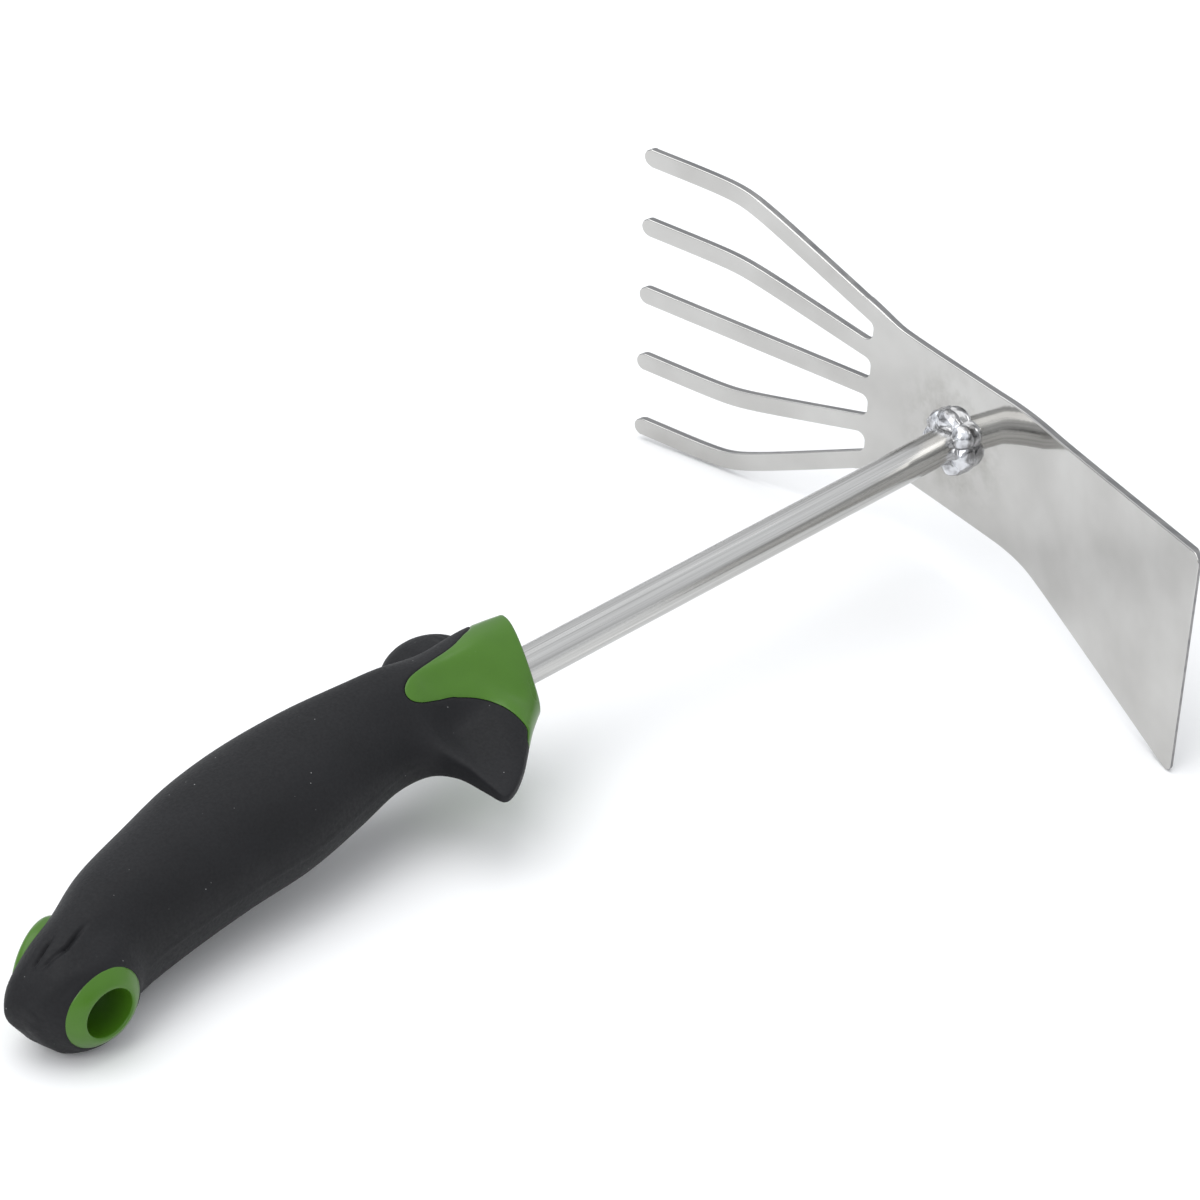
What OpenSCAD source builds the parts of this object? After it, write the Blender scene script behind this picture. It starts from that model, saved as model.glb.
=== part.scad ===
// Hand cultivator with a five-tine fork on one side of the shank and a hoe blade on the other.
// The head is one bent sheet, welded across the end of a round rod. The rod is pressed into a hard
// plastic core, and a rubber grip is moulded over the core.

/* [Head] */
// Thickness of the stamped sheet
sheet_t = 1.8; // [1.5:0.1:2.5]
// Width of the neck, where the shank is welded
neck_w = 36; // [30:1:42]
// Lean of the neck away from square to the shank, in degrees
neck_lean = 7; // [0:0.5:10]
// Length of the hoe blade past its bend
blade_len = 63; // [50:1:76]
// Width of the cutting edge
edge_w = 54.5; // [46:0.5:66]
// Bend between the neck and the blade, in degrees
blade_bend = 14.5; // [8:0.5:20]
// Bend between the neck and the tines, in degrees
tine_bend = 15.5; // [8:0.5:20]

/* [Tines] */
// Width of one tine
tine_w = 4.4; // [3.4:0.1:5.4]
// Distance from the bottom of the slots to the tine tips
tine_len = 64; // [52:1:76]
// Distance between neighbouring tines at their tips
tine_pitch = 18; // [15:0.5:20]
// Distance between neighbouring tines at their roots
root_pitch = 9.5; // [8.5:0.1:10.5]

/* [Shank] */
// Diameter of the rod
rod_d = 8; // [6:0.5:10]
// Bare rod between the collar and the neck
rod_bare = 131; // [105:1:160]
// Rod pressed into the handle
rod_tang = 62; // [45:1:70]
// Leg of the weld bead
weld_leg = 3; // [2:0.25:4]

/* [Handle] */
// Scale of the handle along the shank
handle_stretch = 1; // [0.9:0.01:1.2]
// Half of the handle's breadth, across the palm
palm_half = 12.6; // [11.5:0.1:15.2]
// Thickness of the rubber over the core
skin_t = 2.4; // [1.6:0.1:3]
// Diameter of the hanging hole
hole_d = 10; // [8:0.5:12]
// Width of the rim around the hanging hole
hole_rim = 3.25; // [3:0.25:4.5]

/* [Hidden] */

// Inner radii of the two bends, and where they start along the neck from the shank's axis.
tine_bend_r = 45;
tine_bend_at = 15.3;
blade_bend_r = 60;
blade_bend_at = 15.4;
// Places along the neck, measured square to it: slot bottoms, kink of the tines, tips and edge.
root_v = tine_bend_at + tine_bend_r * sin(tine_bend) - 0.3;
tip_v = root_v + tine_len * cos(tine_bend) + 0.6;
kink_v = root_v + 0.57 * (tip_v - root_v);
edge_v = -(blade_bend_at + blade_bend_r * sin(blade_bend) + blade_len * cos(blade_bend));
flare_v = -27;
slot_r = 1.9;
corner_r = 2.2;
bevel_len = 3;
edge_land = 1;
// Softness of the corners in the outline.
kink_soft = 5;
flare_soft = 8;
shoulder_soft = 1.2;

// A value that is 0 below zero and x above it, with the corner eased over the length q.
function ease(x, q) = (x + sqrt(x * x + q * q)) / 2;

// Slope and centre line of tine number i, counted 0, 1, 2 from the middle outward.
function slope(i) = i * (tine_pitch - root_pitch) / (kink_v - root_v);
function mid(i, v) = i * tine_pitch - slope(i) * ease(kink_v - v, kink_soft);
function skew(i, v) = slope(i) * (1 + (kink_v - v) / sqrt(pow(kink_v - v, 2) + pow(kink_soft, 2))) / 2;
// A point on one side of tine i, where side is 1 or -1.
function tine_edge(i, v, side) =
    let (m = skew(i, v), n = sqrt(1 + m * m))
    [v - side * tine_w / 2 * m / n, mid(i, v) + side * tine_w / 2 / n];

// Half of the sheet's width at v: the neck, the flare to the blade and the shoulder to the outer tine.
function shoulder(v) = tine_edge(2, v, 1)[1] + skew(2, v) * (v - tine_edge(2, v, 1)[0]);
function half_w(v) =
    neck_w / 2
    + (edge_w - neck_w) / 2 * ease(flare_v - v, flare_soft) / (flare_v - edge_v)
    + ease(shoulder(v) - neck_w / 2, shoulder_soft);

// Handle: each station holds a point of the upper outline, a point of the lower outline, the breadth as a
// share of palm_half, how much narrower the section is below than above, how much of its depth has hard
// core inside, and how much thinner the finger guard is than the palm. x is along the shank and y is
// toward the tines.
stations = [
    [[2, 8.8], [-5, -13], 0.88, 0.5, 0.85, 0],
    [[-2.2, 10], [-9.8, -16.4], 0.9, 0.5, 0.78, 0.2],
    [[-7, 11], [-15.1, -20.8], 0.92, 0.5, 0.7, 0.4],
    [[-11.5, 11.7], [-20.4, -25.2], 0.92, 0.45, 0.63, 0.55],
    [[-15.5, 12.1], [-25.8, -28.7], 0.91, 0.42, 0.58, 0.68],
    [[-18.5, 12.4], [-29.2, -29.3], 0.91, 0.4, 0.56, 0.74],
    [[-21, 12.4], [-29.6, -24.8], 0.92, 0.36, 0.64, 0.7],
    [[-24, 12.2], [-29.8, -17.8], 0.94, 0.3, 0.82, 0.58],
    [[-28.5, 12.4], [-32, -12], 0.96, 0.24, 0.98, 0.28],
    [[-36, 13.2], [-38, -10.3], 0.97, 0.17, 1, 0.04],
    [[-50, 15.3], [-50, -13.3], 1, 0.04, 1, 0],
    [[-65, 15.2], [-65, -16.9], 1, 0, 1, 0],
    [[-80, 12.3], [-80, -18.1], 1, 0, 1, 0],
    [[-95, 7], [-94, -19.6], 1, 0, 1, 0],
    [[-109, 1.6], [-106, -21.5], 0.99, 0, 1, 0],
    [[-119.5, -4.7], [-117, -24.2], 0.96, 0, 1, 0],
    [[-128, -8.9], [-125.4, -26.1], 0.895, 0, 1, 0],
    [[-134.2, -12.4], [-130.6, -22.8], 0.58, 0, 1, 0],
    [[-136.8, -15.4], [-134.2, -18.8], 0.24, 0, 1, 0]
];
// The guard thins out over this depth, from this height down, and keeps a blunt edge.
web_deep = 12;
web_from = 1;
web_blunt = 0.8;
ring_sides = 40;
ring_steps = 3;
// Edge of the green collar against the rubber, seen from the side, in the same axes as the stations.
collar_edge = [[20, 30], [-1, 30], [-2.6, 13], [-7, 5.4], [-10.8, 3.5], [-14, 2.4], [-16.8, 2],
    [-19.6, 1.8], [-22.7, 1.3], [-25.8, 0.6], [-28.3, -0.2], [-30, -1.3], [-30.5, -2.5], [-30, -3.5],
    [-28.6, -4.2], [-26.5, -4.5], [-24.2, -4.8], [-21.8, -5.2], [-19.8, -6], [-17.9, -6.9],
    [-16.3, -8], [-15, -9.3], [-14, -11], [-13.4, -12.7], [-12.9, -14.5], [-12.6, -16.1],
    [-12.4, -17.5], [-11.6, -18.4], [20, -18.4]];
// Thumb rest: its centre and its three half sizes.
thumb_at = [-13.4, 10.6, 0];
thumb_half = [11.4, 9.6, 7.5];
// Hanging hole: how far it lies behind the collar, where its mouth is, and where its far rim
// sits on the back of the handle with its slant in degrees.
hole_back = 123;
eye_mouth = -28.2;
eye_back = [-8.4, 27];
// Flats on the hidden end of the rod.
flat_len = 38;
flat_across = 0.82;
rod_r = rod_d / 2;
far = 60;

// The curve through b and c that also heeds their neighbours a and d, at t between 0 and 1.
function curve(a, b, c, d, t) =
    b + t * (c - a) / 2 + t * t * (a - 2.5 * b + 2 * c - d / 2) + t * t * t * (1.5 * (b - c) + (d - a) / 2);
function pick(i) = stations[max(0, min(len(stations) - 1, i))];
function between(k, i, t) = curve(pick(i - 1)[k], pick(i)[k], pick(i + 1)[k], pick(i + 2)[k], t);

// One ring of points at step t past station i: the handle's skin, or the core's when inset is over 0.
function section(i, t, inset) =
    let (top = between(0, i, t), bottom = between(1, i, t), share = inset > 0 ? between(4, i, t) : 1,
        low = top + (bottom - top) * share, broad = between(2, i, t) * palm_half - inset,
        egg = between(3, i, t), web = between(5, i, t), centre = (top + low) / 2, arm = (top - low) / 2,
        reach = 1 - inset / norm(arm))
    [for (j = [0 : ring_sides - 1])
        let (a = 360 * j / ring_sides, s = sin(a), c = cos(a),
            y = centre[1] + arm[1] * reach * s, q = max(0, min(1, (web_from - y) / web_deep)),
            thin = web * q * q * (3 - 2 * q))
        [(centre[0] + arm[0] * reach * s) * handle_stretch - rod_bare,
            y,
            broad * sign(c) * pow(abs(c), 1 - web_blunt * thin) * (1 + egg * s) * (1 - thin)]];

// From the neck's own axes, w out of the sheet and v along it, to the tool's x and y.
function in_tool(w, v) =
    [w * cos(neck_lean) + v * sin(neck_lean), v * cos(neck_lean) - w * sin(neck_lean)];
// How far the inner face of the tines and of the blade lies behind the neck's, at v.
function tine_back(v) =
    -tine_bend_r * (1 - cos(tine_bend))
    - (v - tine_bend_at - tine_bend_r * sin(tine_bend)) * tan(tine_bend);
function blade_back(v) =
    -blade_bend_r * (1 - cos(blade_bend))
    + (v + blade_bend_at + blade_bend_r * sin(blade_bend)) * tan(blade_bend);
function lift(xy, z) = [xy[0], xy[1], z];

// The tool lies on its side, on the outer tine, the blade's corner and the handle.
tine_rest = lift(in_tool(tine_back(kink_v), kink_v), -2 * tine_pitch - tine_w / 2);
blade_rest = lift(in_tool(blade_back(edge_v + corner_r), edge_v + corner_r), -edge_w / 2 + 0.3);
palm_rest = [-(rod_bare + 124.5 * handle_stretch), -17, -0.935 * palm_half];
tilt = cross(palm_rest - tine_rest, blade_rest - tine_rest);
up = tilt / norm(tilt);
along = [1, 0, 0] - up * up[0];
east = along / norm(along);
north = cross(up, east);
outermost = [
    [-(rod_bare + 137.8 * handle_stretch), -17.5, 0],
    lift(in_tool(sheet_t - 0.5, root_v - 4), -half_w(root_v - 4)),
    lift(in_tool(tine_back(tip_v), tip_v), 2 * tine_pitch),
    lift(in_tool(tine_back(tip_v), tip_v), -2 * tine_pitch),
    lift(in_tool(blade_back(edge_v), edge_v), edge_w / 2),
    lift(in_tool(blade_back(edge_v), edge_v), -edge_w / 2)
];
eastings = [for (p = outermost) p * east];
northings = [for (p = outermost) p * north];
move_x = -(min(eastings) + max(eastings)) / 2;
move_y = -(min(northings) + max(northings)) / 2;
move_z = -tine_rest * up;

// From the tool's axes, with x along the shank and the neck's inner face at 0, to the part's.
module lay_down() {
    multmatrix([
        [east[0], east[1], east[2], move_x],
        [north[0], north[1], north[2], move_y],
        [up[0], up[1], up[2], move_z],
        [0, 0, 0, 1]
    ]) children();
}

// The neck's own axes: x out of the sheet, y along it toward the tines, z across it.
module on_neck() {
    rotate([0, 0, -neck_lean]) children();
}

// Everything on the outer side of the neck's inner face.
module beyond_neck() {
    on_neck() translate([0, -far / 2, -far / 2]) cube(far);
}

// The bent sheet before its outline is stamped: tines above, blade below.
module bent_sheet() {
    across = 2 * far;
    translate([0, -blade_bend_at, -far]) cube([sheet_t, blade_bend_at + tine_bend_at, across]);
    translate([-tine_bend_r, tine_bend_at, -far]) {
        rotate_extrude(angle = tine_bend, $fn = 96) translate([tine_bend_r, 0]) square([sheet_t, across]);
        rotate([0, 0, tine_bend]) translate([tine_bend_r, 0, 0]) cube([sheet_t, tine_len + 10, across]);
    }
    translate([-blade_bend_r, -blade_bend_at, -far]) rotate([0, 0, -blade_bend]) {
        rotate_extrude(angle = blade_bend, $fn = 96) translate([blade_bend_r, 0]) square([sheet_t, across]);
        translate([blade_bend_r, -blade_len - 10, 0]) cube([sheet_t, blade_len + 10, across]);
    }
}

// Corner of the blade, then its side, the neck's and the shoulder's, up to the outer tine.
function side_points(steps) =
    let (start = edge_v + corner_r, top = root_v + slot_r)
    concat(
        [for (a = [0 : 15 : 75]) [start - corner_r * cos(a), half_w(start) - corner_r + corner_r * sin(a)]],
        [for (k = [0 : steps]) let (v = start + (top - start) * k / steps) [v, half_w(v)]]);

// One side of tine i between two distances along it.
function tine_points(i, side, from, to, steps) =
    [for (k = [0 : steps]) tine_edge(i, from + (to - from) * k / steps, side)];

// Round tip of tine i, over the angle turn from its outer side.
function tip_points(i, turn) =
    [for (a = [15 : 15 : turn])
        [tip_v - tine_w / 2 * (1 - sin(a)), i * tine_pitch + tine_w / 2 * cos(a)]];

// Bottom of the slot between tine i and the next one out, walked inward, with both corners rounded.
function slot_points(i) =
    let (low_m = skew(i, root_v), high_m = skew(i + 1, root_v),
        low_n = sqrt(1 + low_m * low_m), high_n = sqrt(1 + high_m * high_m),
        low_c = mid(i, root_v) + tine_w / 2 * low_n + low_m * slot_r + slot_r * low_n,
        high_c = mid(i + 1, root_v) - tine_w / 2 * high_n + high_m * slot_r - slot_r * high_n)
    concat(
        [for (k = [6 : -1 : 0]) let (a = atan2(1, high_m) * k / 6)
            [root_v + slot_r * (1 - cos(a)), high_c + slot_r * sin(a)]],
        [for (k = [0 : 6]) let (a = atan2(1, -low_m) * k / 6)
            [root_v + slot_r * (1 - cos(a)), low_c - slot_r * sin(a)]]);

// The whole head in the flat: blade, neck and five tines.
module head_outline() {
    root = root_v + slot_r + 1;
    straight = tip_v - tine_w / 2;
    half = concat(
        side_points(44),
        tine_points(2, 1, root, straight, 24), tip_points(2, 165), tine_points(2, -1, straight, root, 24),
        slot_points(1),
        tine_points(1, 1, root, straight, 24), tip_points(1, 165), tine_points(1, -1, straight, root, 24),
        slot_points(0),
        tine_points(0, 1, root, straight, 1), tip_points(0, 75));
    polygon(concat(half, [[tip_v, 0]], [for (k = [len(half) - 1 : -1 : 0]) [half[k][0], -half[k][1]]]));
}

// Ground away behind the cutting edge.
module edge_grinding() {
    rake = atan2(sheet_t - edge_land, bevel_len);
    translate([blade_back(edge_v), edge_v, -far]) rotate([0, 0, -blade_bend])
        translate([edge_land, 0, 0]) rotate([0, 0, -rake])
            translate([0, -far / 2, 0]) cube([far / 4, far, 2 * far]);
}

module head_plate() {
    color("silver") lay_down() on_neck() difference() {
        intersection() {
            bent_sheet();
            translate([-far / 2, 0, 0]) rotate([90, 0, 90]) linear_extrude(far) head_outline();
        }
        edge_grinding();
    }
}

// Round rod along x, with two flats on the end that the handle hides.
module rod() {
    length = rod_bare + rod_tang;
    difference() {
        translate([-length, 0, 0]) rotate([0, 90, 0]) cylinder(r = rod_r, h = length + rod_d, $fn = 64);
        for (side = [-1, 1])
            translate([-length - 1, side * rod_r * flat_across - (side < 0 ? rod_d : 0), -rod_d])
                cube([flat_len + 1, rod_d, 2 * rod_d]);
    }
}

module shank() {
    color("gainsboro") lay_down() difference() {
        rod();
        beyond_neck();
    }
}

// Fillet weld all round the rod, against the neck.
module weld_bead() {
    color("lightgray") lay_down() difference() {
        rotate([0, 90, 0]) rotate_extrude($fn = 64) intersection() {
            translate([rod_r, -weld_leg]) square([weld_leg, weld_leg + rod_d]);
            union() {
                translate([rod_r, 0]) circle(weld_leg, $fn = 48);
                translate([rod_r, 0]) square([weld_leg, rod_d]);
            }
        }
        beyond_neck();
    }
}

// A closed skin over the rings.
module loft(rings) {
    sides = len(rings[0]);
    last = len(rings) - 1;
    polyhedron(
        points = [for (r = rings) each r],
        faces = [
            [for (j = [0 : sides - 1]) j],
            [for (j = [sides - 1 : -1 : 0]) last * sides + j],
            for (r = [0 : last - 1], j = [0 : sides - 1])
                let (k = (j + 1) % sides)
                each [[r * sides + j, (r + 1) * sides + j, (r + 1) * sides + k],
                    [r * sides + j, (r + 1) * sides + k, r * sides + k]]
        ]);
}

// The handle's whole outer shape.
module grip_form() {
    loft([for (n = [0 : ring_steps * (len(stations) - 1)])
        section(floor(n / ring_steps), n / ring_steps - floor(n / ring_steps), 0)]);
    translate([thumb_at[0] * handle_stretch - rod_bare, thumb_at[1], thumb_at[2]])
        scale(thumb_half) sphere(1, $fn = 40);
}

// The hard plastic under the rubber.
module hard_form() {
    loft([for (n = [1 : ring_steps * (len(stations) - 2)])
        section(floor(n / ring_steps), n / ring_steps - floor(n / ring_steps), skin_t)]);
}

// All the room in front of the rubber's edge, where the handle is collar.
module collar_room() {
    translate([-rod_bare, 0, -far / 2]) scale([handle_stretch, 1, 1]) linear_extrude(far) polygon(collar_edge);
}

// Runs its children along the hanging hole's axis, from its mouth up.
module at_hole() {
    translate([-(rod_bare + hole_back * handle_stretch), eye_mouth, 0]) rotate([-90, 0, 0]) children();
}

// The same for the far rim, which is slanted to follow the handle's back.
module at_far_rim() {
    translate([-(rod_bare + hole_back * handle_stretch), eye_back[0], 0]) rotate([0, 0, eye_back[1]])
        rotate([-90, 0, 0]) children();
}

// The room that the lining of the hanging hole takes up in the rubber.
module eye_room() {
    across = hole_d + 2 * hole_rim;
    depth = eye_back[0] - eye_mouth;
    at_hole() translate([0, 0, -far]) cylinder(d = across, h = far + depth - 3, $fn = 64);
    at_far_rim() translate([0, 0, -depth / 2]) cylinder(d = across, h = far, $fn = 64);
}

// The lining of the hanging hole: a round-edged rim at each end.
module eye() {
    bead = hole_rim / 2;
    middle = (hole_d + hole_rim) / 2;
    depth = eye_back[0] - eye_mouth;
    at_hole() rotate_extrude($fn = 64) {
        translate([hole_d / 2, bead]) square([hole_rim, depth - bead - 4]);
        translate([middle, bead]) circle(bead, $fn = 32);
    }
    difference() {
        at_far_rim() translate([0, 0, -depth / 2]) rotate_extrude($fn = 64) {
            square([middle, depth / 2]);
            square([middle + bead, depth / 2 - bead]);
            translate([middle, depth / 2 - bead]) circle(bead, $fn = 32);
        }
        at_hole() cylinder(d = hole_d, h = far * 2, center = true, $fn = 64);
    }
}

module handle_core() {
    color("olivedrab") lay_down() {
        difference() {
            resize([0, 0, 0]) {
                hard_form();
                intersection() {
                    grip_form();
                    collar_room();
                }
            }
            rod();
            at_hole() cylinder(d = hole_d + hole_rim, h = far * 2, center = true, $fn = 64);
        }
        eye();
    }
}

module rubber_grip() {
    color("#2b2c30") lay_down() difference() {
        resize([0, 0, 0]) difference() {
            grip_form();
            hard_form();
            collar_room();
        }
        eye_room();
    }
}

head_plate();
shank();
weld_bead();
handle_core();
rubber_grip();
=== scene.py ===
import math

import bmesh
import bpy
import numpy as np
from mathutils import Matrix, Vector


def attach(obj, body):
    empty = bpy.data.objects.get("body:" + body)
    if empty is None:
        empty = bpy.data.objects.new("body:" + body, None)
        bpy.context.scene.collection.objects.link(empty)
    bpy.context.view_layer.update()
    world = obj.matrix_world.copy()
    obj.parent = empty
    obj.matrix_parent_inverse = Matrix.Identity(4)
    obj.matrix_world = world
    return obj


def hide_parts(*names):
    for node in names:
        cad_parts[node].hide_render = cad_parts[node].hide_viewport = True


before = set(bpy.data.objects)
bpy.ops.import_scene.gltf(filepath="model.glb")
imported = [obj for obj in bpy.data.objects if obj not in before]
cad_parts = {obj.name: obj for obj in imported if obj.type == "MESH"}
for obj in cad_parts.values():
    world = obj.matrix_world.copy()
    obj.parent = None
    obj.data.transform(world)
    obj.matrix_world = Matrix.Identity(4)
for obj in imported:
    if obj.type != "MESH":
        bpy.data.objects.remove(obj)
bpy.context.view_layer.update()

# ---------------------------------------------------------------------------
# Camera: a long lens, above and behind the butt of the handle, so that the
# hanging hole is nearest and the head is furthest away.
MM = 0.001
camera_data = bpy.data.cameras.new("camera")
camera_data.lens = 115.2
camera_data.sensor_width = 36
camera = bpy.data.objects.new("camera", camera_data)
camera.location = (-0.45920, -0.48075, 0.40937)
camera.rotation_euler = tuple(math.radians(a) for a in (60.940, -2.668, -43.744))
bpy.context.scene.collection.objects.link(camera)
bpy.context.scene.camera = camera
bpy.context.scene.view_settings.view_transform = "Standard"

# ---------------------------------------------------------------------------
# Head plate: one blank of polished stainless sheet. Fork, neck and blade are
# stamped flat in one stroke, then the fork and the blade are bent back, and
# the blade's edge is ground on its outer face. Sizes are in millimetres.
SHEET_T = 1.8
NECK_W = 36
NECK_LEAN = math.radians(7)
BLADE_LEN = 63
EDGE_W = 54.5
BLADE_BEND = math.radians(14.5)
TINE_BEND = math.radians(15.5)
TINE_W = 4.4
TINE_LEN = 64
TINE_PITCH = 18
ROOT_PITCH = 9.5
TINE_BEND_R, TINE_BEND_AT = 45, 15.3
BLADE_BEND_R, BLADE_BEND_AT = 60, 15.4
ROOT_V = TINE_BEND_AT + TINE_BEND_R * math.sin(TINE_BEND) - 0.3
TIP_V = ROOT_V + TINE_LEN * math.cos(TINE_BEND) + 0.6
KINK_V = ROOT_V + 0.57 * (TIP_V - ROOT_V)
EDGE_V = -(BLADE_BEND_AT + BLADE_BEND_R * math.sin(BLADE_BEND)
           + BLADE_LEN * math.cos(BLADE_BEND))
FLARE_V = -27
SLOT_R = 1.9
CORNER_R = 2.2
BEVEL_LEN = 3
EDGE_LAND = 1
KINK_SOFT, FLARE_SOFT, SHOULDER_SOFT = 5, 8, 1.2
ROLL = 0.3

# How the tool lies on the ground: from its own axes, with x along the shank,
# y toward the tines and z across, to the frame's. In millimetres.
LIES = Matrix((
    (0.996392, -0.005192, -0.084712, 131.053),
    (0.0, 0.998127, -0.061172, -1.439),
    (0.084871, 0.060952, 0.994526, 34.437),
    (0, 0, 0, 1),
))


def finished(name, bm, *materials):
    """A mesh object in the frame's metres from a bmesh in the tool's own millimetres."""
    for v in bm.verts:
        v.co = (LIES @ v.co) * MM
    mesh = bpy.data.meshes.new(name)
    bm.to_mesh(mesh)
    bm.free()
    for m in materials:
        mesh.materials.append(m)
    piece = bpy.data.objects.new(name, mesh)
    bpy.context.scene.collection.objects.link(piece)
    return piece


def soften(piece, angle):
    """Smooth shading, broken where two faces meet at more than angle degrees."""
    for p in piece.data.polygons:
        p.use_smooth = True
    bm = bmesh.new()
    bm.from_mesh(piece.data)
    for e in bm.edges:
        e.smooth = len(e.link_faces) == 2 and e.calc_face_angle(0) < math.radians(angle)
    bm.to_mesh(piece.data)
    bm.free()
    keep = piece.modifiers.new("flat faces stay flat", "WEIGHTED_NORMAL")
    keep.keep_sharp = True
    apply_modifiers(piece)


def apply_modifiers(piece):
    """Bakes the piece's modifiers into its mesh."""
    bpy.context.view_layer.update()
    done = bpy.data.meshes.new_from_object(
        piece.evaluated_get(bpy.context.evaluated_depsgraph_get()))
    piece.modifiers.clear()
    old = piece.data
    piece.data = done
    done.name = old.name + "_mesh"
    bpy.data.meshes.remove(old)


def ease(x, q):
    return (x + math.sqrt(x * x + q * q)) / 2


def slope(i):
    return i * (TINE_PITCH - ROOT_PITCH) / (KINK_V - ROOT_V)


def tine_mid(i, v):
    return i * TINE_PITCH - slope(i) * ease(KINK_V - v, KINK_SOFT)


def skew(i, v):
    return slope(i) * (1 + (KINK_V - v) / math.hypot(KINK_V - v, KINK_SOFT)) / 2


def tine_edge(i, v, side):
    m = skew(i, v)
    n = math.hypot(1, m)
    return (v - side * TINE_W / 2 * m / n, tine_mid(i, v) + side * TINE_W / 2 / n)


def half_width(v):
    on_edge = tine_edge(2, v, 1)
    shoulder = on_edge[1] + skew(2, v) * (v - on_edge[0])
    flare = (EDGE_W - NECK_W) / 2 * ease(FLARE_V - v, FLARE_SOFT) / (FLARE_V - EDGE_V)
    return NECK_W / 2 + flare + ease(shoulder - NECK_W / 2, SHOULDER_SOFT)


def spread(low, high, steps):
    return [low + (high - low) * k / steps for k in range(steps + 1)]


def slot_bottom(i):
    """Rounded bottom of the slot between tine i and the next one out, walked inward."""
    low_m, high_m = skew(i, ROOT_V), skew(i + 1, ROOT_V)
    low_n, high_n = math.hypot(1, low_m), math.hypot(1, high_m)
    low_c = tine_mid(i, ROOT_V) + TINE_W / 2 * low_n + low_m * SLOT_R + SLOT_R * low_n
    high_c = tine_mid(i + 1, ROOT_V) - TINE_W / 2 * high_n + high_m * SLOT_R - SLOT_R * high_n
    out = [(ROOT_V + SLOT_R * (1 - math.cos(a)), high_c + SLOT_R * math.sin(a))
           for a in spread(math.atan2(1, high_m), 0, 9)]
    return out + [(ROOT_V + SLOT_R * (1 - math.cos(a)), low_c - SLOT_R * math.sin(a))
                  for a in spread(0, math.atan2(1, -low_m), 9)]


def blank_outline():
    """The stamped blank in the flat, as a closed run of points (v along the neck, z across)."""
    start, top = EDGE_V + CORNER_R, ROOT_V + SLOT_R
    root, straight = ROOT_V + SLOT_R + 1, TIP_V - TINE_W / 2
    half = [(start - CORNER_R * math.cos(a), half_width(start) - CORNER_R + CORNER_R * math.sin(a))
            for a in spread(0, math.radians(80), 8)]
    half += [(v, half_width(v)) for v in spread(start, top, 70)]
    for i in (2, 1, 0):
        steps = 40 if i else 2
        half += [tine_edge(i, v, 1) for v in spread(root, straight, steps)]
        turn = 170 if i else 80
        half += [(TIP_V - TINE_W / 2 * (1 - math.sin(math.radians(a))),
                  i * TINE_PITCH + TINE_W / 2 * math.cos(math.radians(a)))
                 for a in range(10, turn + 1, 10)]
        if i:
            half += [tine_edge(i, v, -1) for v in spread(straight, root, steps)]
            half += slot_bottom(i - 1)
    return half + [(TIP_V, 0)] + [(v, -z) for v, z in reversed(half)]


def sheet_depth(v, share):
    """Distance out of the neck's inner face, at v, of a point that share of the way through."""
    out = []
    for grow in (0, SHEET_T):
        if v > 0:
            radius, bend, at = TINE_BEND_R, TINE_BEND, v - TINE_BEND_AT
        else:
            radius, bend, at = BLADE_BEND_R, BLADE_BEND, -v - BLADE_BEND_AT
        outer = radius + grow
        if at <= 0:
            out.append(grow)
        elif at < outer * math.sin(bend):
            out.append(-radius + math.sqrt(outer ** 2 - at ** 2))
        else:
            past = at - outer * math.sin(bend)
            out.append(-radius + outer * math.cos(bend) - past * math.tan(bend))
    inner, outer = out
    ground = max(0, 1 - (v - EDGE_V) / (BEVEL_LEN * math.cos(BLADE_BEND)))
    outer -= ground * (SHEET_T - EDGE_LAND) / math.cos(BLADE_BEND)
    return inner + share * (outer - inner)


def bend_sheet(co):
    """Flat blank to bent sheet, in the tool's axes."""
    w = sheet_depth(co.y, co.x / SHEET_T)
    c, s = math.cos(NECK_LEAN), math.sin(NECK_LEAN)
    return Vector((w * c + co.y * s, co.y * c - w * s, co.z))


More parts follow.
